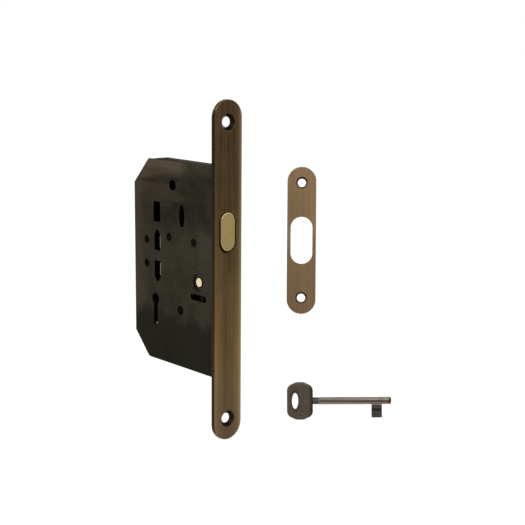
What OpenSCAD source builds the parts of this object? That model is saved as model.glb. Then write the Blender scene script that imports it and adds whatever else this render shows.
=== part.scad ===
// Mortise lock for a sliding door, with its strike plate and key.
// Millimetres. The origin is the centre of the forend's front face.
// +X points out of the door's edge, +Z runs up the forend, and -Y is the near broad side.

/* [Forend] */
// Height of the forend
forend_h = 196; // [170:1:240]
// Width of the forend
forend_w = 20; // [18:0.5:28]
// Thickness of the forend
forend_t = 2.5; // [2:0.1:4]
// Rounding of the forend's and the strike plate's front edge
edge_r = 0.6; // [0.2:0.1:0.9]
// Distance of each forend screw from the forend's end
forend_screw_in = 12.5; // [8:0.5:18]

/* [Screw holes] */
// Diameter of each screw hole
screw_d = 5.8; // [4:0.1:6.8]
// Diameter of the countersink at the forend's face
forend_sink_d = 9.8; // [8:0.1:11]
// Diameter of the countersink at the strike plate's face
strike_sink_d = 8.2; // [7.6:0.1:10]

/* [Case] */
// Distance from the key's axis to the rear of the case
rear_room = 20.7; // [17:0.1:36]
// Height of the case
case_h = 120.8; // [110:1:150]
// Thickness of the case, over both plates
case_t = 15.5; // [14:0.1:17]
// Sheet thickness of the tray and the cover
sheet_t = 1.2; // [0.8:0.1:1.6]
// Depth of the bevel at the upper rear corner
top_bevel_d = 14.5; // [4:0.5:18]
// Height of the bevel at the upper rear corner
top_bevel_h = 15.3; // [4:0.5:20]
// Depth of the bevel at the lower rear corner
low_bevel_d = 13.6; // [4:0.5:18]
// Height of the bevel at the lower rear corner
low_bevel_h = 14.3; // [4:0.5:20]

// Rounding of the tray's bends
bend_r = 1.5; // [0.5:0.1:2]
// How far the cover's edge stands out past the tray's walls
cover_lip = 0.3; // [0.1:0.05:0.5]
// Rounding of the cover's lowest rear corner
low_corner_r = 3.4; // [0.5:0.1:5]

/* [Hook] */
// Distance from the forend's face to the hook's pivot
pivot_back = 17.4; // [15:0.1:20]
// Height of the pivot above the forend's centre
pivot_z = -7; // [-10:0.5:-4]
// Diameter of the pivot pin
pivot_d = 5; // [4:0.1:6]
// Angle through which the hook swings out
hook_swing = 36; // [20:1:38]
// Inner radius of the nose about the pivot
nose_in = 26.3; // [24:0.1:28]
// Outer radius of the nose about the pivot
nose_out = 44.4; // [42:0.1:47]
// Thickness of the nose
nose_t = 10.4; // [8:0.1:11]
// Gap between the nose and the sides of its slot in the forend
nose_gap = 0.9; // [0.5:0.1:1.2]
// Gap between the nose and the top of its slot
nose_top_gap = 0.3; // [0.2:0.1:0.6]
// How far the nose is sunk below the forend's face
face_sunk = 0.1; // [0.1:0.1:0.6]
// Distance from the pivot down to the drive stud's line
stud_drop = 9.2; // [9:0.1:11]
// Diameter of the drive stud
stud_d = 3.6; // [3:0.1:4]

/* [Key] */
// Distance from the forend's face to the key's axis
backset = 59.1; // [57:0.1:61]
// Height of the key's axis above the forend's centre
key_z = -23.4; // [-25:0.1:-22]
// Diameter of the key's shaft
key_d = 5.1; // [4:0.1:6]
// Length of the key over all
key_l = 72; // [66:0.5:90]
// Reach of the key's bit from the axis
bit_reach = 11.6; // [10.8:0.1:12]
// Width of the bit along the shaft
bit_w = 7.1; // [5:0.1:8]
// Thickness of the bit
bit_t = 2.6; // [2:0.1:3]
// Height of the key's bow
bow_h = 26.2; // [20:0.5:32]
// Width of the key's bow
bow_w = 17.9; // [14:0.5:20]
// Thickness of the key's bow
bow_t = 5.4; // [4:0.2:7]

/* [Strike plate] */
// Height of the strike plate
strike_h = 102; // [90:1:130]
// Width of the strike plate
strike_w = 20; // [18:0.5:26]
// Thickness of the strike plate
strike_t = 2; // [1.5:0.1:3]
// Distance of each strike plate screw from the plate's end
strike_screw_in = 11.15; // [8:0.05:14]
// Height of the strike plate's window
window_h = 32.6; // [28:0.5:40]
// Width of the strike plate's window
window_w = 15.1; // [13:0.1:16]

/* [Loose pieces] */
// Direction that the loose pieces face, turned from the case's near side
show_turn = 49.17; // [0:0.01:90]
// Upward tilt of the loose pieces
show_tilt = 10.75; // [0:0.01:30]
// Centre of the strike plate
strike_at = [-92, 140.7, -8.3];
// Middle of the key
key_at = [-58.7, 147.3, -117.1];
// Lean of the key from the level
key_lean = 0.7; // [-10:0.1:10]

/* [Hidden] */
$fn = 48;

near_y = -case_t / 2;
far_y = case_t / 2;
near_in = near_y + sheet_t;
far_in = far_y - sheet_t;
case_front = -forend_t;
case_rear = -backset - rear_room;
case_top = case_h / 2;
case_low = -case_h / 2;
pivot_x = -pivot_back;
stud_z = pivot_z - stud_drop;
key_x = -backset;
run_gap = 0.05;
slip_gap = 0.15;
// Half of the drive slide's travel follows from the hook's swing
half_travel = stud_drop * tan(hook_swing / 2);

// Draws a flat outline of x and z as a plate from one y to another
module plate(y_low, y_high) {
    translate([0, y_high, 0])
        rotate([90, 0, 0])
            linear_extrude(y_high - y_low)
                children();
}

// A slot with two round ends, as an outline
module obround(w, h) {
    straight = h - w;
    square([w, straight], center = true);
    for (s = [-1, 1])
        translate([0, s * straight / 2])
            circle(d = w);
}

// A plate with two round ends that faces +X, with its front edge rounded
module rounded_plate(w, h, t) {
    straight = h - w;
    r = edge_r;
    arc = [for (a = [0:15:90]) [w / 2 - r + r * cos(a), -r + r * sin(a)]];
    profile = concat([[0, -t], [w / 2, -t]], arc, [[0, 0]]);
    for (s = [-1, 1])
        translate([0, 0, s * straight / 2])
            rotate([0, 90, 0])
                rotate_extrude()
                    polygon(profile);
    translate([0, 0, -straight / 2])
        linear_extrude(straight)
            for (m = [0, 1])
                mirror([0, m, 0])
                    polygon([for (p = profile) [p[1], p[0]]]);
}

// Countersunk hole along X through a plate whose front face is at x = 0
module sunk_hole(sink_d, t) {
    cone = (sink_d - screw_d) / 2;
    translate([-t - 1, 0, 0])
        rotate([0, 90, 0])
            cylinder(d = screw_d, h = t + 2);
    translate([-cone, 0, 0])
        rotate([0, 90, 0])
            cylinder(d1 = screw_d, d2 = sink_d, h = cone);
    rotate([0, 90, 0])
        cylinder(d = sink_d, h = 1);
}

// Slot in the forend for the nose
nose_low = pivot_z + sqrt(pow(nose_in, 2) - pow(pivot_back - face_sunk, 2));
nose_top = pivot_z + sqrt(pow(nose_out, 2) - pow(pivot_back - forend_t, 2));
slot_low = nose_low - nose_gap;
slot_high = nose_top + nose_top_gap;
slot_w = nose_t + 2 * nose_gap;
slot_z = (slot_low + slot_high) / 2;

lug_z = case_h / 3;
lug_h = 6;
lug_in = forend_t / 2;
lug_gap = 0.1;

module lug_place() {
    for (s = [-1, 1])
        translate([0, 0, s * lug_z])
            children();
}

module forend() {
    color("#5a4a36")
        difference() {
            rounded_plate(forend_w, forend_h, forend_t);
            for (s = [-1, 1])
                translate([0, 0, s * (forend_h / 2 - forend_screw_in)])
                    sunk_hole(forend_sink_d, forend_t);
            translate([-forend_t - 1, 0, slot_z])
                rotate([90, 0, 90])
                    linear_extrude(forend_t + 2)
                        obround(slot_w, slot_high - slot_low);
            for (y = [near_y, far_in])
                lug_place()
                    translate([-forend_t - 1, y - lug_gap, -lug_h / 2 - lug_gap])
                        cube([lug_in + 1 + lug_gap, sheet_t + 2 * lug_gap, lug_h + 2 * lug_gap]);
        }
}

// Outline of the case, counterclockwise, and the same outline drawn in by a distance
case_points = [
    [case_front, case_low],
    [case_front, case_top],
    [case_rear + top_bevel_d, case_top],
    [case_rear, case_top - top_bevel_h],
    [case_rear, case_low + low_bevel_h],
    [case_rear + low_bevel_d, case_low]
];
function unit(v) = v / norm(v);
function inward(a, b) = let (d = unit(b - a)) [-d[1], d[0]];
function drawn_corner(p, q, r, by) =
    let (m = inward(p, q), n = inward(q, r)) q + by * (m + n) / (1 + m * n);
function drawn_in(pts, by) =
    let (n = len(pts))
    [for (k = [0:n - 1]) drawn_corner(pts[(k + n - 1) % n], pts[k], pts[(k + 1) % n], by)];

// Openings through both plates, each by its own size and its way from the keyhole
key_axis = [key_x, key_z];
fixing_hole_d = 6.3;
fixing_hole_off = [17.3, 13.8];
fixing_hole_at = [key_x + fixing_hole_off[0], case_top - fixing_hole_off[1]];
upper_slot = [6.5, 12.2];
upper_slot_off = [1.8, 52.9];
upper_slot_at = key_axis + upper_slot_off;
lens_slot = [5, 12.8];
lens_slot_off = [26.1, 52.9];
lens_slot_at = key_axis + lens_slot_off;
pointed_slot = [6, 12.5];
pointed_slot_off = [2.2, 26.5];
pointed_slot_at = key_axis + pointed_slot_off;
pointed_gap = 6.2;
pointed_tip = 3;
bush_d = 10;
stud_slot_l = 14.8;
stud_slot_h = stud_d + 2 * slip_gap;
keyhole_d = 6.9;
keyhole_slot = 3.8;
keyhole_reach = 16;
rear_post_in = 12.2;
rear_post_x = case_rear + rear_post_in;
rear_post_up = [35, 20.6];
rear_post_z = [key_z + rear_post_up[0], key_z + rear_post_up[1]];
mid_post_off = [13.8, 39.2];
mid_post_at = key_axis + mid_post_off;
low_post_off = [24.6, -3];
low_post_at = key_axis + low_post_off;
dimple_off = [-4.3, 22.5];
dimple_at = [pivot_x, pivot_z] + dimple_off;
small_post_d = 4.4;
low_post_d = 5.6;

module lens(size) {
    // Two arcs that meet in a rounded slot, wider in its middle
    bulge = size[0] * 0.25;
    chord = size[1];
    arc_r = (pow(chord / 2, 2) + pow(bulge, 2)) / (2 * bulge);
    intersection() {
        square([size[0], chord], center = true);
        for (s = [-1, 1])
            intersection() {
                translate([s * (size[0] / 2 - arc_r), 0])
                    circle(r = arc_r, $fn = 96);
                translate([-s * (size[0] / 2 - arc_r), 0])
                    circle(r = arc_r, $fn = 96);
            }
    }
}

module pointed() {
    // Upper one of the two slots, with its point up
    w = pointed_slot[0];
    h = pointed_slot[1];
    polygon([[-w / 2, 0], [w / 2, 0], [w / 2, h - pointed_tip], [w / 6, h], [-w / 6, h],
        [-w / 2, h - pointed_tip]]);
}

module keyhole() {
    circle(d = keyhole_d);
    translate([-keyhole_slot / 2, -keyhole_reach])
        square([keyhole_slot, keyhole_reach]);
}

module plate_openings() {
    translate(fixing_hole_at)
        circle(d = fixing_hole_d);
    translate(upper_slot_at)
        square(upper_slot, center = true);
    translate(lens_slot_at)
        lens(lens_slot);
    for (s = [0, 1])
        translate(pointed_slot_at)
            mirror([0, s])
                translate([0, pointed_gap / 2])
                    pointed();
    translate([pivot_x, pivot_z])
        circle(d = bush_d + 2 * run_gap);
    translate([pivot_x, stud_z])
        rotate(90)
            obround(stud_slot_h, stud_slot_l);
    translate([key_x, key_z])
        keyhole();
    for (z = rear_post_z)
        translate([rear_post_x, z])
            circle(d = small_post_d + 2 * run_gap);
    translate(mid_post_at)
        circle(d = small_post_d + 2 * run_gap);
    translate(low_post_at)
        circle(d = low_post_d + 2 * run_gap);
}

module lugs(y) {
    lug_place()
        translate([case_front, y, -lug_h / 2])
            cube([lug_in, sheet_t, lug_h]);
}

// The tray's outline: the cover's outline drawn in by its lip, but still meeting the forend
function to_front(pts, by) =
    [for (p = drawn_in(pts, by)) [p[0] > case_front - by - 0.01 ? case_front : p[0], p[1]]];
tray_points = to_front(case_points, cover_lip);
tray_room = to_front(case_points, cover_lip + sheet_t);

// What a sheet loses where it is bent round one straight edge of the outline
module bend_cut(p, q) {
    along = q - p;
    translate([p[0], far_y, p[1]])
        rotate([0, -atan2(along[1], along[0]), 0])
            translate([-bend_r, 0, 0])
                rotate([0, 90, 0])
                    linear_extrude(norm(along) + 2 * bend_r)
                        difference() {
                            translate([-bend_r, -bend_r])
                                square([bend_r + 1, bend_r + 1]);
                            translate([-bend_r, -bend_r])
                                circle(r = bend_r);
                        }
}

module case_tray() {
    color("#3d3a35")
        difference() {
            union() {
                plate(near_in, far_y)
                    polygon(tray_points);
                lugs(far_in);
            }
            plate(near_in - 1, far_in)
                union() {
                    polygon(tray_room);
                    translate([case_front - 1, tray_room[0][1]])
                        square([2, tray_room[1][1] - tray_room[0][1]]);
                }
            for (k = [1:5])
                bend_cut(tray_points[(k + 1) % 6], tray_points[k]);
            plate(far_in - 1, far_y + 1)
                plate_openings();
        }
}

dimple_d = 4.8;
dimple_deep = 0.5;

// What rounding takes from one corner of an outline
module corner_cut(p, q, r_at, r) {
    along = unit(q - p);
    on = unit(r_at - p);
    half = acos(along * on) / 2;
    difference() {
        polygon([p - (along + on), p + along * r / tan(half), p + on * r / tan(half)]);
        translate(p + unit(along + on) * r / sin(half))
            circle(r = r, $fn = 96);
    }
}

module case_cover() {
    color("#4a453e")
        difference() {
            union() {
                plate(near_y, near_in)
                    difference() {
                        polygon(case_points);
                        corner_cut(case_points[5], case_points[4], case_points[0], low_corner_r);
                    }
                lugs(near_y);
            }
            plate(near_y - 1, near_in + 1)
                plate_openings();
            plate(near_y - 1, near_y + dimple_deep)
                translate(dimple_at)
                    circle(d = dimple_d);
        }
}

// Bright plate behind the cover that guides the key and lines the pointed slots.
// It stands beside the spring post, and its tabs show at the slots' edges.
guide_t = 0.8;
shoulder = 1.3;
post_gap = 0.3;
guide_reach = 4.5;
guide_left = key_x - guide_reach;
guide_right = mid_post_at[0] - small_post_d / 2 - shoulder - post_gap;
guide_in = 4;
guide_over = 16.9;
guide_under = 17;
guide_below_key = 22.6;
guide_edge = pointed_slot_at[0] + guide_in;
guide_top = pointed_slot_at[1] + guide_over;
guide_sill = pointed_slot_at[1] - guide_under;
guide_low = key_z - guide_below_key;
guide_tab = [3, 7.4];
guide_tab_z = 8.1;
guide_foot = 1.4;

module key_guide_plate() {
    color("#b9b6ad")
        plate(near_in, near_in + guide_t)
            difference() {
                union() {
                    translate([guide_left, guide_low])
                        square([guide_right - guide_left, guide_sill - guide_low]);
                    translate([guide_edge, guide_low])
                        square([guide_right - guide_edge, guide_top - guide_low]);
                    for (s = [-1, 1])
                        translate([guide_edge - guide_tab[0], pointed_slot_at[1] + s * guide_tab_z])
                            translate([0, -guide_tab[1] / 2])
                                square(guide_tab + [guide_foot, 0]);
                }
                translate([key_x, key_z]) {
                    circle(d = keyhole_d);
                    translate([-keyhole_slot / 2, -keyhole_reach + guide_foot])
                        square([keyhole_slot, keyhole_reach - guide_foot]);
                }
            }
}

// Shouldered posts that hold the two plates apart and are riveted over at both ends
rivet_in = 0.4;

module post(d) {
    rotate([90, 0, 0])
        cylinder(d = d, h = case_t - 2 * rivet_in, center = true);
    rotate([90, 0, 0])
        cylinder(d = d + 2 * shoulder, h = case_t - 2 * sheet_t, center = true);
}

module upper_post() {
    color("#8d8a82")
        translate([rear_post_x, 0, rear_post_z[0]])
            post(small_post_d);
}

module spring_post() {
    color("#8d8a82")
        translate([mid_post_at[0], 0, mid_post_at[1]])
            post(small_post_d);
}

module low_post() {
    color("#8d8a82")
        translate([low_post_at[0], 0, low_post_at[1]])
            post(low_post_d);
}

slide_t = 2;
slide_y = 2.7;

// The post on which the drive slide runs has its shoulder only on the near side of the slide,
// and a washer fills the space on the far side
module slide_post() {
    color("#8d8a82")
        translate([rear_post_x, 0, rear_post_z[1]]) {
            rotate([90, 0, 0])
                cylinder(d = small_post_d, h = case_t - 2 * rivet_in, center = true);
            plate(near_in, slide_y - slip_gap)
                circle(d = small_post_d + 2 * shoulder);
        }
}

module slide_washer() {
    color("#c9c6bd")
        translate([rear_post_x, 0, rear_post_z[1]])
            plate(slide_y + slide_t + slip_gap, far_in)
                difference() {
                    circle(d = small_post_d + 2 * shoulder);
                    circle(d = small_post_d + 2 * run_gap);
                }
}

// The hook: a nose of obround section swept about the pivot, an arm, a hub and a slotted tail
hub_r = 6.5;
beak_back = 73;
neck_in = 33;
neck_end = 108;
arm_t = 8;
tail_t = 5;
tail_w = 8.8;
tail_reach = 14;
arm_clear = 0.7;
tail_slot_low = 0.25;
tail_slot_play = 1.1;
nose_start = 40;
arm_edge = pivot_back - forend_t - arm_clear;
face_x = pivot_back - face_sunk;
face_low = nose_low - pivot_z;
face_high = nose_top - pivot_z;
face_mid = (face_low + face_high) / 2;

module nose_section() {
    translate([(nose_in + nose_out) / 2, 0])
        obround_across(nose_out - nose_in, nose_t);
}

module obround_across(l, w) {
    square([l - w, w], center = true);
    for (s = [-1, 1])
        translate([s * (l - w) / 2, 0])
            circle(d = w);
}

module nose_sweep() {
    rotate([90, 0, 0])
        difference() {
            rotate([0, 0, nose_start])
                rotate_extrude(angle = neck_end - nose_start)
                    nose_section();
            rotate([0, 0, beak_back])
                rotate_extrude(angle = neck_end)
                    translate([0, -nose_t])
                        square([neck_in, 2 * nose_t]);
        }
}

// The nose's upper front fills its slot, because from there it only swings outward
module nose_cap() {
    depth = 1.5 * forend_t;
    intersection() {
        translate([face_x - depth, 0, face_mid])
            rotate([90, 0, 90])
                linear_extrude(depth)
                    obround(nose_t, face_high - face_low);
        translate([0, -nose_t, face_mid])
            cube([nose_out, 2 * nose_t, nose_out]);
    }
}

module hook_bolt() {
    // The arm is drawn as it stands when the hook is out, and turned back by the swing
    foot = [hub_r - 0.5, 2.5];
    arm = [foot, [arm_edge, 14], [arm_edge, nose_in + 4.7], [12.5, nose_out - 4.8],
        [8.5, nose_in + 6.7], [1, 20], [-foot[0], foot[1]]];
    color("#a88c55")
        translate([pivot_x, 0, pivot_z])
            difference() {
                union() {
                    difference() {
                        union() {
                            nose_sweep();
                            nose_cap();
                        }
                        difference() {
                            translate([face_x - edge_r, -nose_t, 0])
                                cube([nose_out, 2 * nose_t, nose_out]);
                            translate([face_x, 0, face_mid])
                                rounded_plate(nose_t, face_high - face_low, 2 * edge_r);
                        }
                    }
                    plate(-arm_t / 2, arm_t / 2)
                        rotate(hook_swing)
                            polygon(arm);
                    plate(-nose_t / 2, nose_t / 2)
                        circle(r = hub_r);
                    plate(-tail_t / 2, tail_t / 2)
                        rotate(hook_swing / 2)
                            translate([-tail_w / 2, -tail_reach])
                                square([tail_w, tail_reach]);
                }
                plate(-nose_t, nose_t)
                    circle(r = pivot_d / 2 + run_gap);
                plate(-tail_t, tail_t)
                    rotate(hook_swing / 2)
                        translate([0, -stud_drop - tail_slot_low])
                            obround(stud_slot_h, stud_slot_h + tail_slot_play);
            }
}

module pivot_pin() {
    color("#d9c58c")
        translate([pivot_x, 0, pivot_z])
            rotate([90, 0, 0])
                cylinder(d = pivot_d, h = case_t - 2 * rivet_in, center = true);
}

// Each side of the hub has a flanged bush in the plate and a thin washer against the hub
bush_flange_d = 13;
bush_flange_t = 0.6;
bush_sunk = 0.8;
washer_d = 12;

module bush() {
    difference() {
        union() {
            plate(near_y + bush_sunk, near_in)
                circle(d = bush_d);
            plate(near_in, near_in + bush_flange_t)
                circle(d = bush_flange_d);
        }
        plate(near_y - 1, 0)
            circle(r = pivot_d / 2 + run_gap / 2);
    }
}

module hub_washer() {
    plate(near_in + bush_flange_t, -nose_t / 2 - slip_gap)
        difference() {
            circle(d = washer_d);
            circle(r = pivot_d / 2 + run_gap);
        }
}

module hub_washer_near() {
    color("#c9c6bd")
        translate([pivot_x, 0, pivot_z])
            hub_washer();
}

module hub_washer_far() {
    color("#c9c6bd")
        translate([pivot_x, 0, pivot_z])
            mirror([0, 1, 0])
                hub_washer();
}

module pivot_bush_near() {
    color("#2b2824")
        translate([pivot_x, 0, pivot_z])
            bush();
}

module pivot_bush_far() {
    color("#2b2824")
        translate([pivot_x, 0, pivot_z])
            mirror([0, 1, 0])
                bush();
}

// The drive slide: a cranked plate with the key's talon, a guide slot and a spring ear
bar_top = pivot_z - hub_r - post_gap;
bar_under = 3.2;
bar_low = stud_z - bar_under;
talon_grip = 1.1;
talon_clear = 0.9;
talon_mouth = key_z + bit_reach - talon_grip;
talon_roof = key_z + bit_reach + talon_clear;
talon_w = 7;
ear_r = 3.2;
ear_hole_d = 1.2;
ear_under = 11.8;
ear_at = [mid_post_at[0] + half_travel, mid_post_at[1] - ear_under];
slide_wall = 2.3;
slide_over = 3.1;
slide_end = rear_post_x - small_post_d / 2 - slide_wall;
slide_top = rear_post_z[1] + small_post_d / 2 + slide_over;
crank_in = 1;
crank_x = key_x + bit_reach + crank_in;
bar_end = 4;
stud_rest_x = pivot_x + half_travel;

module drive_slide() {
    right_end = stud_rest_x + bar_end;
    ear_end = ear_at[0] + ear_r;
    color("#77746c")
        plate(slide_y, slide_y + slide_t)
            difference() {
                union() {
                    translate([slide_end, talon_mouth])
                        square([ear_end - slide_end, slide_top - talon_mouth]);
                    translate([crank_x, bar_low])
                        square([right_end - crank_x, bar_top - bar_low]);
                    translate([crank_x, bar_low])
                        square([ear_end - crank_x, slide_top - bar_low]);
                    translate(ear_at)
                        circle(r = ear_r);
                    translate([ear_at[0] - ear_r, slide_top - 1])
                        square([2 * ear_r, ear_at[1] - slide_top + 1]);
                }
                translate([key_x + half_travel - talon_w / 2, talon_mouth - 1])
                    square([talon_w, talon_roof - talon_mouth + 1]);
                translate([rear_post_x + half_travel, rear_post_z[1]])
                    rotate(90)
                        obround(small_post_d + 2 * slip_gap, 2 * half_travel + small_post_d + 2 * slip_gap);
                translate([stud_rest_x, stud_z])
                    circle(d = stud_d);
                translate(ear_at)
                    circle(d = ear_hole_d);
            }
}

module drive_stud() {
    color("#3a3733")
        translate([stud_rest_x, 0, stud_z])
            rotate([90, 0, 0])
                cylinder(d = stud_d, h = case_t - 2 * rivet_in, center = true);
}

// Collar on the stud that keeps the slide off the far plate
module stud_collar() {
    color("#c9c6bd")
        translate([stud_rest_x, 0, stud_z])
            plate(slide_y + slide_t, far_in - slip_gap)
                difference() {
                    circle(r = stud_drop - hub_r - post_gap);
                    circle(d = stud_d);
                }
}

// Toggle spring: an eye round the middle post, a coil, and a leg bent into the slide's ear
wire_d = 0.8;
coil_at = [mid_post_at[0] + 8.3, mid_post_at[1] - 4.3];
coil_r = 3;
coil_turns = 3;
coil_pitch = 1.3;
eye_r = small_post_d / 2 + shoulder + wire_d / 2 + 0.2;

// A ring of points across a path at one of its points
function ring_at(p, t, r, sides) =
    let (side = unit(cross(t, abs(t[1]) > 0.9 ? [1, 0, 0] : [0, 1, 0])), up = cross(side, t))
    [for (k = [0:sides - 1]) p + r * (cos(360 * k / sides) * side + sin(360 * k / sides) * up)];

module tube(path, d, sides) {
    n = len(path);
    tangents = [for (i = [0:n - 1]) unit(path[min(i + 1, n - 1)] - path[max(i - 1, 0)])];
    points = [for (i = [0:n - 1]) each ring_at(path[i], tangents[i], d / 2, sides)];
    faces = [
        [for (k = [0:sides - 1]) k],
        for (i = [0:n - 2])
            for (k = [0:sides - 1])
                [i * sides + (k + 1) % sides, i * sides + k,
                    (i + 1) * sides + k, (i + 1) * sides + (k + 1) % sides],
        [for (k = [0:sides - 1]) n * sides - 1 - k]
    ];
    polyhedron(points, faces, convexity = 8);
}

eye_y = -1.9;
coil_path = [for (a = [0:30:360 * coil_turns])
    [coil_at[0] + coil_r * cos(120 + a), eye_y + coil_pitch * a / 360, coil_at[1] + coil_r * sin(120 + a)]];
leg_y = eye_y + coil_pitch * coil_turns;

// Least gap of the coil to itself, measured between points at least half a turn apart
spring_gap = min([for (i = [0:len(coil_path) - 1], j = [i:len(coil_path) - 1])
    if (j - i >= 6) norm(coil_path[i] - coil_path[j]) - wire_d]);
echo(spring_gap = spring_gap);

module toggle_spring() {
    leg_end = [ear_at[0], leg_y, ear_at[1]];
    eye = [for (a = [300:-30:30])
        [mid_post_at[0] + eye_r * cos(a), eye_y, mid_post_at[1] + eye_r * sin(a)]];
    color("#c9c6bd")
        tube(concat(eye, coil_path, [leg_end + [0.8, 0, 0.6], leg_end + [0.1, 0.4, 0],
            leg_end + [0, slide_y + slide_t - leg_y, 0]]), wire_d, 8);
}

// Places a loose piece so that its front faces the shown direction
module shown(at, lean = 0) {
    translate(at)
        rotate([0, 0, show_turn])
            rotate([90 - show_tilt, 0, 0])
                rotate([0, 0, lean])
                    children();
}

module strike_plate() {
    color("#7a6549")
        shown(strike_at)
            rotate([0, -90, -90])
                difference() {
                    rounded_plate(strike_w, strike_h, strike_t);
                    for (s = [-1, 1])
                        translate([0, 0, s * (strike_h / 2 - strike_screw_in)])
                            sunk_hole(strike_sink_d, strike_t);
                    translate([-strike_t - 1, 0, 0])
                        rotate([90, 0, 90])
                            linear_extrude(strike_t + 2)
                                obround(window_w, window_h);
                }
}

// The key lies along its own x, with its bow at the left and its bit pointing down
bow_left = -key_l / 2;
bow_right = bow_left + bow_w;
collar_l = 3.9;
blade_tip = key_l / 2;
bow_corner = 4.5;
bow_crown_r = 12;
bow_edge = 1.5;
bow_hole = [4.4, 11.4];
bow_hole_at = bow_w * 0.185;
tip_past_bit = 6.4;
bit_end = blade_tip - tip_past_bit;
collar_thin = 0.3;
tip_chamfer = 0.8;
bit_groove_at = 6.1;
bit_groove_w = 2.4;
bit_groove_deep = 0.7;

// A round pad with a soft rim, of which the bow is blended
module bow_pad(r) {
    rotate_extrude($fn = 36) {
        square([r - bow_edge, bow_t / 2]);
        square([r, bow_t / 2 - bow_edge]);
        translate([r - bow_edge, bow_t / 2 - bow_edge])
            intersection() {
                circle(r = bow_edge);
                square(bow_edge);
            }
    }
}

module key_bow() {
    // Pads along the arcs of the top and bottom, out to the corners
    reach = bow_crown_r - bow_corner;
    turn = asin((bow_w / 2 - bow_corner) / reach);
    color("#4b3c30")
        shown(key_at, key_lean)
            translate([(bow_left + bow_right) / 2, 0, 0])
                difference() {
                    hull()
                        for (m = [0, 1], s = [-1, 1], k = [-3, -1, 1, 3])
                            mirror([0, 0, m])
                                translate([reach * sin(k * turn / 3),
                                    s * (bow_h / 2 - bow_crown_r + reach * cos(k * turn / 3)), 0])
                                    bow_pad(bow_corner);
                    translate([-bow_hole_at, 0, -bow_t])
                        linear_extrude(2 * bow_t)
                            scale(bow_hole)
                                circle(d = 1, $fn = 64);
                }
}

module key_collar() {
    color("#3a3530")
        shown(key_at, key_lean)
            translate([bow_right, 0, 0])
                rotate([0, 90, 0])
                    cylinder(d = key_d - collar_thin, h = collar_l);
}

module key_blade() {
    shaft_start = bow_right + collar_l;
    color("#86735c")
        shown(key_at, key_lean)
            difference() {
                union() {
                    translate([shaft_start, 0, 0])
                        rotate([0, 90, 0])
                            cylinder(d = key_d, h = blade_tip - shaft_start - tip_chamfer);
                    translate([blade_tip - tip_chamfer, 0, 0])
                        rotate([0, 90, 0])
                            cylinder(d1 = key_d, d2 = key_d - 2 * tip_chamfer, h = tip_chamfer);
                    translate([bit_end - bit_w, -bit_reach, -bit_t / 2])
                        cube([bit_w, bit_reach, bit_t]);
                }
                translate([bit_end - bit_w - 1, -bit_groove_at - bit_groove_w / 2, bit_t / 2 - bit_groove_deep])
                    cube([bit_w + 2, bit_groove_w, 1]);
            }
}

forend();
case_tray();
case_cover();
key_guide_plate();
upper_post();
spring_post();
low_post();
slide_post();
slide_washer();
hook_bolt();
pivot_pin();
pivot_bush_near();
pivot_bush_far();
hub_washer_near();
hub_washer_far();
drive_slide();
drive_stud();
stud_collar();
toggle_spring();
strike_plate();
key_bow();
key_collar();
key_blade();
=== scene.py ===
import math

import bpy
from mathutils import Matrix, Vector

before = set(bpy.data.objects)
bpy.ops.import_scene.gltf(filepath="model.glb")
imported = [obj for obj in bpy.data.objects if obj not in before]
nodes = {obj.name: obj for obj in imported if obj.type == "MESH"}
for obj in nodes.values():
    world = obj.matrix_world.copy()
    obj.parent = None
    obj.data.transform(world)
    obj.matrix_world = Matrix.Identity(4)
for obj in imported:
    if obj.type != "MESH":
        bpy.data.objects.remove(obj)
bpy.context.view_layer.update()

MM = 0.001

# The camera, fitted to the photograph: angles in degrees, lengths in millimetres
AZIMUTH = 49.171
ELEVATION = 10.753
ROLL = 0.446
DISTANCE = 716.87
ACROSS = -19.451
UPWARD = -6.284
FOCAL_PIXELS = 1266.73
PICTURE = 525
SENSOR = 36

# The way that the loose pieces face, as in part.scad: a turn about the vertical and a tilt
SHOW_TURN = math.radians(49.17)
SHOW_TILT = math.radians(10.75)
SHOW = Vector((math.sin(SHOW_TURN) * math.cos(SHOW_TILT),
    -math.cos(SHOW_TURN) * math.cos(SHOW_TILT), math.sin(SHOW_TILT)))
# Level along such a piece, and up it
LEVEL = Vector((math.cos(SHOW_TURN), math.sin(SHOW_TURN), 0))
RISE = SHOW.cross(LEVEL)

# Frames of faces: across, up and out of the face
CASE_FACE = ((1, 0, 0), (0, 0, 1), (0, 1, 0))
FOREND_FACE = ((0, 1, 0), (0, 0, 1), (1, 0, 0))
SHOWN_FACE = (LEVEL, RISE, SHOW)

# Places from part.scad, in millimetres
PIVOT_AT = (-17.4, 0, -7)
STRIKE_AT = (-92, 140.7, -8.3)
KEY_AT = (-58.7, 147.3, -117.1)
# Ends of the posts and the small dimple, across and up on the case
POSTS_AT = ((-67.6, 11.6), (-67.6, -2.8), (-45.3, 15.8), (-21.7, 15.5), (-34.5, -26.4))
POST_RADIUS = 2.1
# Three places down the keyhole
KEYHOLE_AT = ((-59.1, -23.4), (-59.1, -29), (-59.1, -33.5))
KEYHOLE_RADIUS = 3.4
# The nose's slot in the forend: its middle, height and width
SLOT_UP = 23.52
SLOT_TALL = 23.22
SLOT_WIDE = 12.2
# Screw holes of the forend and of the strike plate, across and up from each plate's middle
FOREND_HOLES = ((0, 85.5), (0, -85.5))
FOREND_HOLE_RADIUS = 4.9
STRIKE_HOLES = ((0, 40.1), (0, -39.6))
STRIKE_HOLE_RADIUS = 3.85
# Along the key, from its middle: the bow's right side, the middle of its hole, and the tip
BOW_RIGHT = -18.1
BOW_HOLE_AT = -30.4
BOW_HOLE_RADII = (2.2, 5.7)
KEY_TIP = (33.9, 34.6)
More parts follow.
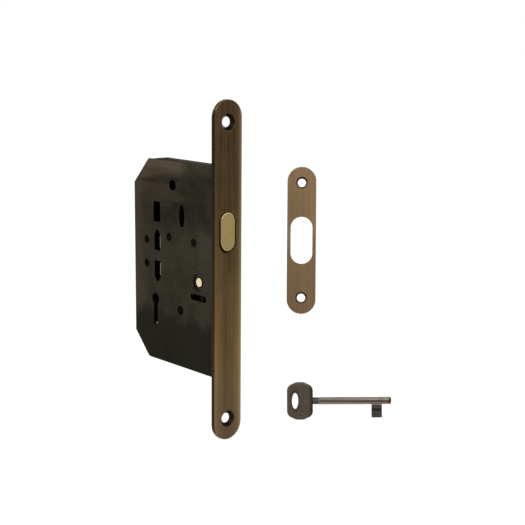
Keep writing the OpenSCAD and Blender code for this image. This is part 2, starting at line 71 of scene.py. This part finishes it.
# Up from the key's middle: the shaft's painted dark reflection, the top of the bit, and its
# groove
SHAFT_REFLECTION = 0.15
SHAFT_REFLECTION_HALF = (1.3, 0.6)
BIT_TOP = (-2.0, -3.2)
BIT_GROOVE = -6.1
GROOVE_HALF = (1.4, 1.1)
GROOVE_DEEP = (1.2, 0.8)

# A pair below gives two places, and a tone changes from the first to the second.
# Heights on the case: its middle, its top, a brown band's middle and reach, the line below
# which it is darker
MIDDLE = (18, 28)
TOP = (49, 56)
BAND = 41
BAND_REACH = (5.5, 2.5)
LOWER_DARK_LINE = (-27, -35)
# Across the case: where the brown tones begin, and its rear edge
REARWARD = (-26, -36)
REAR = (-66, -76)
# The patch beside the forend: across, at its foot and at its head
BESIDE = (-22, -14)
BESIDE_FOOT = (2, 8)
BESIDE_HEAD = (28, 20)
# The folded top wall: its paler end across, and the seam's depth
LID_PALE = (-55, -30)
LID_SEAM = (2.5, -1)
# Depth through the case at which its inside begins
INSIDE = (7.4, 7)
# Out from a plate's middle line, where its plating is rubbed through
RUBBED = (2, 8.5)
# On the forend: its foot, its far long edge with painted light, its near long edge with painted
# shade, and the painted highlight strip beside the near one
FOOT = (-48, -88)
FAR_EDGE = (6, 9.6)
FAR_EDGE_UP = (-60, 80)
NEAR_EDGE = (-8.6, -9)
STRIP = (-7.6, -9)
STRIP_UP = (-30, -60)
# Out from the slot's edge, the dark line of painted shade and patina in its corner and the
# painted light on its wall; the line's ends
SLOT_LINE = (0.7, 0.4)
SLOT_WALL = (0.2, 0.1)
SLOT_SIDES = (3, -3)
# Back from the forend, where painted shade dulls the nose
NOSE_BACK = (-1.5, -6)
# Out from the pivot's middle: where the bushes turn brown with a painted glint, and dark again
# at their rim
BUSH_BROWN = (3.3, 4.1)
BUSH_RIM = (4.3, 4.9)
# Colour of the painted shade on what is shut in
SHUT_SHADE = (5, 5, 4)

# Noise on a brushed plate: factors across it, along the brushing and through it
FINE = (7.0, 0.05, 7.0)
BROAD = (0.55, 0.008, 0.55)
CLOUDS = (0.07, 0.03, 0.07)
TINTS = (1.4, 0.02, 1.4)

# The floor's half width and its height, in metres
FLOOR_HALF = 8
FLOOR_AT = -0.1325
# The floor's grey under the lamps, its glow as the camera sees it, and the share of that glow
FLOOR_GREY = 0.9
FLOOR_GLOW = 1.1
FLOOR_SHARE = 0.86
# The world's strength where it lights the object
WORLD_LIGHT = 0.55
# Lamps: their side in metres, then name, place and aim in metres, and power in watts
LAMP_SIZE = 0.9
LAMPS = (
    ("key_lamp", (0.9, -1.2, 1.3), (-0.04, 0.03, 0), 14),
    ("fill_lamp", (-1.1, -1.0, 0.7), (-0.04, 0.03, 0), 6),
    ("back_lamp", (-0.3, 1.4, 1.1), (-0.04, 0.05, 0), 6),
)


def camera_axes():
    """The camera's right, up and back directions, with its roll."""
    a = math.radians(AZIMUTH)
    e = math.radians(ELEVATION)
    back = Vector((math.sin(a) * math.cos(e), -math.cos(a) * math.cos(e), math.sin(e)))
    right = Vector((math.cos(a), math.sin(a), 0))
    up = back.cross(right)
    turn = Matrix.Rotation(math.radians(ROLL), 3, back)
    return turn @ right, turn @ up, back


def make_camera():
    right, up, back = camera_axes()
    data = bpy.data.cameras.new("camera")
    data.sensor_width = SENSOR
    data.lens = FOCAL_PIXELS * SENSOR / PICTURE
    data.clip_start = 0.01
    data.clip_end = 50
    camera = bpy.data.objects.new("camera", data)
    place = (back * DISTANCE - right * ACROSS - up * UPWARD) * MM
    turn = Matrix((right, up, back)).transposed()
    camera.matrix_world = Matrix.Translation(place) @ turn.to_4x4()
    bpy.context.scene.collection.objects.link(camera)
    bpy.context.scene.camera = camera


def linear(*srgb):
    """A colour written as the photograph shows it, 0 to 255, as the shader takes it."""
    out = []
    for c in srgb:
        c = c / 255
        out.append(c / 12.92 if c <= 0.04045 else ((c + 0.055) / 1.055) ** 2.4)
    return (*out, 1.0)


class Graph:
    """Builds one material's nodes. A source is a (node, output) pair."""

    def __init__(self, name):
        self.material = bpy.data.materials.new(name)
        self.material.use_nodes = True
        self.tree = self.material.node_tree
        self.tree.nodes.clear()
        out = self.add("ShaderNodeOutputMaterial")
        self.shader = self.add("ShaderNodeBsdfPrincipled")
        self.put((self.shader, "BSDF"), out, "Surface")

    def add(self, kind, **settings):
        node = self.tree.nodes.new(kind)
        for key, value in settings.items():
            setattr(node, key, value)
        return node

    def put(self, value, node, socket):
        """Links a source to a socket, or gives the socket a plain value."""
        if isinstance(value, tuple) and isinstance(value[0], bpy.types.Node):
            self.tree.links.new(value[0].outputs[value[1]], node.inputs[socket])
        else:
            node.inputs[socket].default_value = value

    def vector(self, operation, a, b=None):
        """An operation on one or two vectors, or on a vector and a factor for SCALE."""
        node = self.add("ShaderNodeVectorMath", operation=operation)
        self.put(a, node, 0)
        if b is not None:
            self.put(b, node, "Scale" if operation == "SCALE" else 1)
        return node, ("Value" if operation in ("LENGTH", "DOT_PRODUCT") else "Vector")

    def math(self, operation, a, b=None):
        """An operation on one or two numbers."""
        node = self.add("ShaderNodeMath", operation=operation)
        self.put(a, node, 0)
        if b is not None:
            self.put(b, node, 1)
        return node, "Value"

    def plus(self, a, b):
        return self.math("ADD", a, b)

    def times(self, a, b):
        return self.math("MULTIPLY", a, b)

    def part(self, source, axis):
        """One of the three numbers of a vector."""
        node = self.add("ShaderNodeSeparateXYZ")
        self.put(source, node, 0)
        return node, axis

    def joined(self, *parts):
        node = self.add("ShaderNodeCombineXYZ")
        for k, value in enumerate(parts):
            self.put(value, node, k)
        return node, "Vector"

    def place(self, axes=None, centre=(0, 0, 0)):
        """Millimetres of the shared frame, or along three given axes from a centre."""
        here = self.vector("SCALE", (self.add("ShaderNodeTexCoord"), "Object"), 1 / MM)
        if axes is None:
            return here
        moved = self.vector("SUBTRACT", here, centre)
        return self.joined(*[self.vector("DOT_PRODUCT", moved, axis) for axis in axes])

    def reach(self, here, centre=(0, 0), radii=(1, 1)):
        """Distance in a face's plane from a point on it, in radii of an ellipse."""
        away = self.vector("SUBTRACT", here, (*centre, 0))
        flat = self.vector("MULTIPLY", away, (1 / radii[0], 1 / radii[1], 0))
        return self.vector("LENGTH", flat)

    def noise(self, source, stretch=None, scale=1.0, detail=4, rough=0.55):
        """Noise; stretch has a factor for each axis, and a smaller one gives longer marks."""
        node = self.add("ShaderNodeTexNoise")
        node.inputs["Scale"].default_value = scale
        node.inputs["Detail"].default_value = detail
        node.inputs["Roughness"].default_value = rough
        if stretch is not None:
            source = self.vector("MULTIPLY", source, stretch)
        self.put(source, node, "Vector")
        return node, "Fac"

    def span(self, source, low, high, to_low=0.0, to_high=1.0):
        """Maps a number from one range to another, and stops at the ends."""
        node = self.add("ShaderNodeMapRange", clamp=True)
        node.inputs["From Min"].default_value = low
        node.inputs["From Max"].default_value = high
        node.inputs["To Min"].default_value = to_low
        node.inputs["To Max"].default_value = to_high
        self.put(source, node, "Value")
        return node, "Result"

    def mix(self, share, a, b, blend="MIX"):
        """Mixes two colours; each of share, a and b is a value or a source."""
        node = self.add("ShaderNodeMix", data_type="RGBA", blend_type=blend)
        for key, value in ((0, share), (6, a), (7, b)):
            self.put(value, node, key)
        return node, 2

    def paint(self, colour, share, tone, blend="MIX"):
        """Lays a tone, written as the photograph shows it, over a colour."""
        return self.mix(share, colour, linear(*tone), blend)

    def facing(self, axis, low=0.5, high=0.9):
        """How far the surface faces along an axis, from 0 to 1."""
        normal = (self.add("ShaderNodeNewGeometry"), "Normal")
        return self.span(self.vector("DOT_PRODUCT", normal, axis), low, high)

    def bump(self, source, strength, depth):
        """Surface relief: depth in millimetres."""
        node = self.add("ShaderNodeBump")
        node.inputs["Strength"].default_value = strength
        node.inputs["Distance"].default_value = depth * MM
        self.put(source, node, "Height")
        self.put((node, "Normal"), self.shader, "Normal")

    def finish(self, colour, rough, bump=None, **values):
        """Joins colour, roughness and (source, strength, depth) of relief to the shader."""
        self.put(colour, self.shader, "Base Color")
        self.put(rough, self.shader, "Roughness")
        for key, value in values.items():
            self.shader.inputs[key.replace("_", " ")].default_value = value
        if bump is not None:
            self.bump(*bump)
        return self.material


def edge_wear_and_sheen(g, radius=0.45):
    """How near the surface is to an edge, from 0 to 1, from the rounded normal: the share for
    edge wear and a painted edge sheen.
    """
    bevel = g.add("ShaderNodeBevel", samples=4)
    bevel.inputs["Radius"].default_value = radius * MM
    flat = g.add("ShaderNodeNewGeometry")
    same = g.vector("DOT_PRODUCT", (bevel, "Normal"), (flat, "Normal"))
    return g.span(same, 1.0, 0.9)


def occlusion_shade(g, reach, low=0.15, high=0.55, most=0.9):
    """How shut in the surface is, as a share of painted shade: from 0 in the open to most in a
    narrow gap.
    """
    shade = g.add("ShaderNodeAmbientOcclusion", samples=8)
    shade.inputs["Distance"].default_value = reach * MM
    return g.span((shade, "AO"), low, high, most, 0)


def holes_dark(g, here, colour, spots, radius, dark, soft=0.5, most=0.9):
    """Darkens round places on a face, each given in the face's own frame."""
    for spot in spots:
        near = g.span(g.reach(here, spot), radius + soft, radius - soft, 0, most)
        colour = g.paint(colour, near, dark)
    return colour


def forend_marks(g, here, across, colour, worn_and_sheen):
    """What only the forend has: its foot, painted light and shade along its long edges, and
    painted shade and light round the nose's slot.
    """
    side = g.part(here, 0)
    up = g.part(here, 1)
    # Duller and redder at the foot
    colour = g.paint(colour, g.span(up, *FOOT, 0, 0.45), (86, 69, 57))
    # Light gathers toward the far long edge, more so low down
    rubbed = g.math("POWER", g.span(side, *FAR_EDGE), 2)
    colour = g.paint(colour, g.times(rubbed, g.span(up, *FAR_EDGE_UP, 0.75, 0.6)), worn_and_sheen)
    # Painted shade on the near long side face, with a painted highlight in a strip beside it
    # low down
    outer = g.times(g.facing((0, -1, 0), 0.2, 0.7), g.span(side, *NEAR_EDGE))
    colour = g.paint(colour, outer, (105, 98, 88), "MULTIPLY")
    strip = g.times(g.span(side, *STRIP), g.facing((1, 0, 0), 0.35, 0.7))
    strip = g.times(strip, g.span(up, *STRIP_UP, 0, 0.2))
    colour = g.paint(colour, strip, (152, 134, 102))
    # A dark line in the corner round the slot, painted shade and patina, and painted light on
    # the slot's wall
    level = g.math("ABSOLUTE", g.plus(up, -SLOT_UP))
    level = g.math("MAXIMUM", g.math("SUBTRACT", level, (SLOT_TALL - SLOT_WIDE) / 2), 0.0)
    reach = g.vector("LENGTH", g.joined(across, level))
    line = g.span(reach, *[SLOT_WIDE / 2 + out for out in SLOT_LINE], 0, 0.9)
    line = g.times(line, g.span(side, *SLOT_SIDES, 0.1, 1))
    colour = g.paint(colour, g.times(line, g.facing((1, 0, 0))), (32, 18, 6))
    wall = g.span(reach, *[SLOT_WIDE / 2 + out for out in SLOT_WALL])
    return g.paint(colour, g.times(wall, g.facing((1, 0, 0), 0.4, 0.1)), (225, 172, 88))


def brushed_bronze(name, dark, light, worn_and_sheen, axes, centre=(0, 0, 0), lean=None, rub=0.0,
        marks=None, spots=(), spot_radius=4.5):
    """Antique bronze plating, brushed along the second axis of its own frame.

    lean: two heights, and how much lighter the plating is at each of them
    rub: how far the plating is rubbed through near the long edges
    marks: a function that paints what only this piece has
    """
    g = Graph(name)
    here = g.place(axes, centre)
    # Streaks run along the brushing: fine across it, long along it
    fine = g.noise(here, FINE, detail=6, rough=0.7)
    broad = g.noise(here, BROAD, detail=3, rough=0.6)
    cloud = g.noise(here, CLOUDS, detail=3, rough=0.5)
    tint = g.noise(here, TINTS, detail=2, rough=0.5)
    streak = g.plus(g.times(fine, 0.6), g.times(broad, 0.4))
    share = g.span(streak, 0.38, 0.62, 0.1, 0.9)
    # The plating is rubbed through near the long edges, and more so low down
    across = g.math("ABSOLUTE", g.part(here, 0))
    edge = g.span(across, *RUBBED, -rub * 0.5, rub)
    if lean is not None:
        high, low, least, amount = lean
        up = g.part(here, 1)
        share = g.plus(share, g.span(up, high, low, least, amount))
        edge = g.times(edge, g.span(up, high, low, 0.1, 1))
    share = g.plus(g.plus(share, edge), g.span(cloud, 0.3, 0.7, -0.15, 0.15))
    colour = g.mix(g.span(share, -0.4, 1.4), linear(*dark), linear(*light))
    reddish = [c * k for c, k in zip(light, (0.95, 0.72, 0.62))]
    colour = g.paint(colour, g.span(tint, 0.5, 0.75, 0, 0.3), reddish)
    # Lighter edges: rubbed plating, and a painted sheen along them
    colour = g.paint(colour, g.times(edge_wear_and_sheen(g), 0.75), worn_and_sheen)
    if marks is not None:
        colour = marks(g, here, across, colour, worn_and_sheen)
    # Dark countersinks round the screw holes: patina, and painted shade within them
    colour = holes_dark(g, here, colour, spots, spot_radius, (9, 7, 4), 0.35)
    return g.finish(colour, g.span(streak, 0.3, 0.7, 0.29, 0.45), (streak, 0.35, 0.05),
        Metallic=0.95, Anisotropic=0.4)


def case_steel():
    """Dark burnished sheet: brownish clouds above, darker below a slanted line."""
    g = Graph("case_steel")
    face = g.place(CASE_FACE)
    across, up, depth = [g.part(face, k) for k in range(3)]
    cloud = g.noise(face, (0.045, 0.045, 0.03), detail=3, rough=0.5)
    patch = g.noise(face, (0.09, 0.11, 0.07), rough=0.5)
    wash = g.noise(face, (0.02, 0.16, 0.02), detail=3, rough=0.5)
    speck = g.noise(face, scale=1.6, detail=6, rough=0.75)

    def uneven(source, noise, by):
        """Moves a height or distance by some millimetres either way, in patches."""
        return g.plus(source, g.span(noise, 0.3, 0.7, -by, by))

    colour = g.mix(g.span(cloud, 0.38, 0.62), linear(43, 43, 36), linear(64, 60, 51))
    colour = g.paint(colour, g.span(patch, 0.52, 0.7, 0, 0.7), (72, 65, 54))
    colour = g.paint(colour, g.span(patch, 0.46, 0.32, 0, 0.7), (37, 37, 31))
    # Darker above the middle, lighter below it
    middle = uneven(up, patch, 5)
    colour = g.paint(colour, g.span(middle, *MIDDLE, 0.55, 0), (61, 57, 49))
    colour = g.paint(colour, g.span(middle, *MIDDLE, 0, 0.5), (42, 40, 34))
    # Browner toward the top and along the rear edge, in uneven bands
    height = uneven(up, wash, 5)
    rearward = g.span(across, *REARWARD, 0.2, 1)
    colour = g.paint(colour, g.times(g.span(height, *TOP, 0, 0.95), rearward), (88, 77, 64))
    band = g.span(g.math("ABSOLUTE", g.plus(height, -BAND)), *BAND_REACH, 0, 0.6)
    colour = g.paint(colour, g.times(band, rearward), (70, 61, 51))
    # A lighter patch beside the forend, over the pivot
    beside = g.span(uneven(across, patch, 4), *BESIDE)
    beside = g.times(beside, g.span(height, *BESIDE_FOOT))
    beside = g.times(beside, g.span(height, *BESIDE_HEAD, 0, 0.5))
    colour = g.paint(colour, beside, (72, 68, 58))
    colour = g.paint(colour, g.span(uneven(across, patch, 6), *REAR, 0, 0.8), (74, 68, 57))
    # The folded top wall: paler toward the forend, with a dark seam along the cover
    lid = g.facing((0, 0, 1), 0.6, 0.9)
    paler = g.times(lid, g.span(across, *LID_PALE, 0, 0.7))
    colour = g.paint(colour, paler, (104, 101, 90))
    seam = g.times(lid, g.span(depth, *LID_SEAM, 0, 0.6))
    colour = g.paint(colour, seam, (28, 24, 18))
    # Below a slanted, uneven line the sheet is darker
    colour = g.paint(colour, g.span(uneven(up, patch, 4), *LOWER_DARK_LINE, 0, 0.8), (37, 37, 30))
    colour = g.paint(colour, g.span(speck, 0.5, 0.75, 0, 0.35), (33, 32, 26))
    colour = g.paint(colour, g.span(speck, 0.45, 0.25, 0, 0.3), (74, 70, 60))
    # Lighter edges: wear, and a painted sheen along them
    colour = g.paint(colour, g.times(edge_wear_and_sheen(g, 0.35), 0.3), (92, 86, 74))
    # Painted shade in the dimples at the posts' ends and in the small dimple
    colour = holes_dark(g, face, colour, POSTS_AT, POST_RADIUS, (16, 14, 9), 1.2, 0.85)
    # Painted shade inside the case, on the cut walls of its openings and in its narrow gaps
    both = g.math("MAXIMUM", g.facing((0, 1, 0)), g.facing((0, -1, 0)))
    within = g.times(both, g.span(g.math("ABSOLUTE", depth), *INSIDE))
    inside = g.math("MAXIMUM", within, g.facing((1, 0, 0), 0.3, 0.6))
    colour = g.paint(colour, g.times(inside, 0.92), SHUT_SHADE)
    colour = g.paint(colour, occlusion_shade(g, 14), SHUT_SHADE)
    return g.finish(colour, g.span(cloud, 0.3, 0.7, 0.46, 0.62), (speck, 0.25, 0.04),
        Metallic=0.9, Specular_IOR_Level=0.25, Specular_Tint=linear(100, 98, 88))


def key_bronze():
    """The key's shaft and bit: bronze drawn along its length, a painted dark reflection along
    the shaft, a darker bit and tip.
    """
    g = Graph("key_bronze")
    here = g.place(SHOWN_FACE, KEY_AT)
    along, up, out = [g.part(here, k) for k in range(3)]
    fine = g.noise(here, (0.05, 6, 6), detail=5, rough=0.65)
    cloud = g.noise(here, (0.12, 0.5, 0.5), detail=3, rough=0.5)
    colour = g.mix(g.span(fine, 0.35, 0.65), linear(112, 103, 93), linear(148, 140, 129))
    colour = g.paint(colour, g.span(cloud, 0.5, 0.7, 0, 0.5), (92, 70, 60))
    # A painted dark reflection along the shaft's middle, between its bright upper and lower
    # sides
    middle = g.math("ABSOLUTE", g.plus(up, -SHAFT_REFLECTION))
    colour = g.paint(colour, g.span(middle, *SHAFT_REFLECTION_HALF, 0, 0.9), (70, 56, 48))
    # The bit hangs below the shaft, and the tip is the last of its length
    colour = g.paint(colour, g.span(up, *BIT_TOP, 0, 0.9), (52, 48, 40))
    colour = g.paint(colour, g.span(along, *KEY_TIP, 0, 0.9), (44, 32, 28))
    # Lighter edges: wear, and a painted sheen along them
    colour = g.paint(colour, g.times(edge_wear_and_sheen(g), 0.4), (150, 142, 130))
    # Painted shade down in the bit's groove
    groove = g.math("ABSOLUTE", g.plus(up, -BIT_GROOVE))
    inside = g.times(g.span(groove, *GROOVE_HALF), g.span(out, *GROOVE_DEEP))
    colour = g.paint(colour, g.times(inside, 0.8), (36, 35, 31))
    return g.finish(colour, g.span(fine, 0.3, 0.7, 0.24, 0.38), (fine, 0.3, 0.03),
        Metallic=0.95)


def turned_metal(name, tone, shade, rough, metallic=1.0, worn_and_sheen=None, gloss=0.5):
    """Plain turned or pressed metal with fine random marks."""
    g = Graph(name)
    here = g.place()
    mark = g.noise(here, scale=3.0, detail=5, rough=0.65)
    cloud = g.noise(here, (0.2, 0.2, 0.2), detail=3, rough=0.5)
    colour = g.mix(g.span(mark, 0.35, 0.7), linear(*shade), linear(*tone))
    colour = g.paint(colour, g.span(cloud, 0.35, 0.65, 0, 0.35), shade)
    # Lighter edges: wear, and a painted sheen along them
    if worn_and_sheen:
        colour = g.paint(colour, g.times(edge_wear_and_sheen(g), 0.8), worn_and_sheen)
    return g.finish(colour, g.span(mark, 0.3, 0.7, rough - 0.05, rough + 0.08),
        (mark, 0.2, 0.02), Metallic=metallic, Specular_IOR_Level=gloss)


def hook_brass():
    """Polished brass on the nose's face, a painted highlight on its rounded edge and top, and
    painted shade down its sides.
    """
    g = Graph("hook_brass")
    here = g.place()
    mark = g.noise(here, scale=2.4, detail=5, rough=0.6)
    cloud = g.noise(here, scale=0.25, detail=3, rough=0.5)
    colour = g.mix(g.span(mark, 0.35, 0.7), linear(146, 127, 81), linear(163, 146, 97))
    colour = g.paint(colour, g.span(cloud, 0.35, 0.65, 0, 0.4), (142, 120, 82))
    # Painted highlight along the rounded edge and on the top-facing surfaces
    colour = g.paint(colour, g.times(edge_wear_and_sheen(g, 0.7), 0.8), (196, 182, 144))
    colour = g.paint(colour, g.facing((0, 0, 1), 0.1, 0.5), (238, 224, 194))
    # Painted shade where its near side stands in the slot, and more painted shade further back
    shut = g.times(occlusion_shade(g, 2.5, 0.5, 0.95), g.facing((0, -1, 0), 0.25, 0.7))
    colour = g.paint(colour, shut, (30, 18, 7))
    colour = g.paint(colour, g.span(g.part(here, 0), *NOSE_BACK, 0, 0.7), (112, 91, 54))
    return g.finish(colour, g.span(mark, 0.3, 0.7, 0.36, 0.5), (mark, 0.2, 0.02),
        Metallic=1.0)


def bush_bronze():
    """Oiled bushes: nearly black beside the pin, golden brown further out as a painted glint.
    """
    g = Graph("bush_bronze")
    face = g.place(CASE_FACE, PIVOT_AT)
    grain = g.noise(face, scale=2.0, rough=0.6)
    radius = g.plus(g.reach(face), g.span(grain, 0.3, 0.7, -0.3, 0.3))
    colour = g.mix(g.span(radius, *BUSH_BROWN), linear(12, 10, 4), linear(62, 46, 17))
    colour = g.paint(colour, g.span(radius, *BUSH_RIM), (20, 17, 8))
    return g.finish(colour, g.span(grain, 0.3, 0.7, 0.5, 0.65),
        Metallic=0.6, Specular_IOR_Level=0.2)


def guide_zinc():
    """Zinc plate, with painted shade behind the keyhole and on the edges that face the forend.
    """
    g = Graph("guide_zinc")
    face = g.place(CASE_FACE)
    mark = g.noise(face, scale=3.0, detail=5, rough=0.65)
    colour = g.mix(g.span(mark, 0.35, 0.7), linear(128, 127, 122), linear(164, 163, 157))
    colour = holes_dark(g, face, colour, KEYHOLE_AT, KEYHOLE_RADIUS, (7, 7, 6), 0.6, 0.95)
    colour = g.paint(colour, g.facing((1, 0, 0)), SHUT_SHADE)
    return g.finish(colour, g.span(mark, 0.3, 0.7, 0.35, 0.48), (mark, 0.2, 0.02),
        Metallic=1.0)


def bow_bronze():
    """The key's bow: patinated bronze, with painted shade round its hole and toward the shaft.
    """
    g = Graph("bow_bronze")
    here = g.place(SHOWN_FACE, KEY_AT)
    mark = g.noise(here, scale=1.6, detail=5, rough=0.6)
    cloud = g.noise(here, (0.22, 0.14, 0.2), detail=3, rough=0.5)
    colour = g.mix(g.span(mark, 0.35, 0.7), linear(72, 63, 54), linear(100, 90, 79))
    colour = g.paint(colour, g.span(cloud, 0.4, 0.65, 0, 0.45), (70, 60, 50))
    # Painted shade toward the shaft, along the bow's right side
    right = g.span(g.part(here, 0), BOW_RIGHT - 2.8, BOW_RIGHT - 1.4, 0, 0.85)
    colour = g.paint(colour, right, (48, 42, 36))
    # Painted shade in a ring round the hole, which follows its ellipse
    ring = g.span(g.reach(here, (BOW_HOLE_AT, 0), BOW_HOLE_RADII), 1.6, 1.15, 0, 0.7)
    colour = g.paint(colour, ring, (50, 49, 46))
    # Lighter edges: wear, and a painted highlight on the rim
    colour = g.paint(colour, g.times(edge_wear_and_sheen(g, 0.6), 0.5), (124, 113, 100))
    return g.finish(colour, g.span(mark, 0.3, 0.7, 0.38, 0.52), (mark, 0.3, 0.03),
        Metallic=1.0)


def apply(material, *names):
    for name in names:
        node = nodes[name]
        node.data.materials.clear()
        node.data.materials.append(material)


def rays_seen(tree, share=1.0):
    """1 (or share) for camera, glossy and transmission rays, 0 for the rest."""
    path = tree.nodes.new("ShaderNodeLightPath")
    found = path.outputs["Is Camera Ray"]
    for name in ("Is Glossy Ray", "Is Transmission Ray"):
        node = tree.nodes.new("ShaderNodeMath")
        node.operation = "MAXIMUM"
        tree.links.new(found, node.inputs[0])
        tree.links.new(path.outputs[name], node.inputs[1])
        found = node.outputs[0]
    node = tree.nodes.new("ShaderNodeMath")
    node.operation = "MULTIPLY"
    node.inputs[1].default_value = share
    tree.links.new(found, node.inputs[0])
    return node.outputs[0]


def shader(tree, kind, colour, strength=None):
    node = tree.nodes.new(kind)
    node.inputs["Color"].default_value = (*[colour] * 3, 1)
    if strength is not None:
        node.inputs["Strength"].default_value = strength
    return node


def mixed(tree, share, a, b, out):
    mix = tree.nodes.new("ShaderNodeMixShader")
    tree.links.new(share, mix.inputs[0])
    tree.links.new(a.outputs[0], mix.inputs[1])
    tree.links.new(b.outputs[0], mix.inputs[2])
    tree.links.new(mix.outputs[0], out.inputs["Surface"])


def make_stage():
    """A white floor and world; the floor keeps the object's shadow."""
    mesh = bpy.data.meshes.new("floor")
    corners = [(x * FLOOR_HALF, y * FLOOR_HALF, FLOOR_AT)
        for x, y in ((-1, -1), (1, -1), (1, 1), (-1, 1))]
    mesh.from_pydata(corners, [], [(0, 1, 2, 3)])
    floor = bpy.data.objects.new("floor", mesh)
    bpy.context.scene.collection.objects.link(floor)
    material = bpy.data.materials.new("floor_white")
    material.use_nodes = True
    tree = material.node_tree
    tree.nodes.clear()
    out = tree.nodes.new("ShaderNodeOutputMaterial")
    mixed(tree, rays_seen(tree, FLOOR_SHARE), shader(tree, "ShaderNodeBsdfDiffuse", FLOOR_GREY),
        shader(tree, "ShaderNodeEmission", 1, FLOOR_GLOW), out)
    mesh.materials.append(material)

    world = bpy.data.worlds.new("studio")
    bpy.context.scene.world = world
    world.use_nodes = True
    tree = world.node_tree
    tree.nodes.clear()
    out = tree.nodes.new("ShaderNodeOutputWorld")
    mixed(tree, rays_seen(tree), shader(tree, "ShaderNodeBackground", 1, WORLD_LIGHT),
        shader(tree, "ShaderNodeBackground", 1, 1), out)


def lamp(name, place, aim, power):
    data = bpy.data.lights.new(name, "AREA")
    data.size = LAMP_SIZE
    data.energy = power
    obj = bpy.data.objects.new(name, data)
    obj.location = place
    obj.rotation_euler = (Vector(aim) - Vector(place)).to_track_quat("-Z", "Y").to_euler()
    bpy.context.scene.collection.objects.link(obj)


make_camera()

apply(case_steel(), "case_tray", "case_cover")
apply(brushed_bronze("forend_bronze", (50, 39, 24), (118, 95, 58), (158, 140, 108),
    FOREND_FACE, lean=(40, -65, -0.6, 0.35), rub=0.7, marks=forend_marks,
    spots=FOREND_HOLES, spot_radius=FOREND_HOLE_RADIUS), "forend")
apply(brushed_bronze("strike_bronze", (98, 79, 54), (142, 118, 88), (134, 113, 84),
    SHOWN_FACE, STRIKE_AT, spots=STRIKE_HOLES, spot_radius=STRIKE_HOLE_RADIUS),
    "strike_plate")
apply(hook_brass(), "hook_bolt")
apply(guide_zinc(), "key_guide_plate")
apply(turned_metal("pin_brass", (240, 226, 190), (222, 204, 160), 0.3,
    worn_and_sheen=(244, 234, 205)), "pivot_pin")
apply(turned_metal("zinc_steel", (196, 194, 186), (160, 158, 150), 0.35),
    "slide_washer", "hub_washer_near", "hub_washer_far", "drive_slide", "stud_collar")
apply(turned_metal("post_steel", (22, 18, 12), (12, 10, 7), 0.8, 0.1, gloss=0),
    "upper_post", "spring_post", "low_post", "slide_post")
apply(turned_metal("dark_steel", (24, 23, 14), (14, 13, 8), 0.8, 0.1, gloss=0), "drive_stud")
apply(turned_metal("spring_wire", (190, 188, 180), (160, 158, 150), 0.3), "toggle_spring")
apply(bush_bronze(), "pivot_bush_near", "pivot_bush_far")
apply(bow_bronze(), "key_bow")
apply(turned_metal("key_collar_bronze", (84, 83, 78), (60, 60, 56), 0.4,
    worn_and_sheen=(110, 106, 100)), "key_collar")
apply(key_bronze(), "key_blade")

make_stage()
for settings in LAMPS:
    lamp(*settings)

bpy.context.scene.view_settings.view_transform = "Standard"
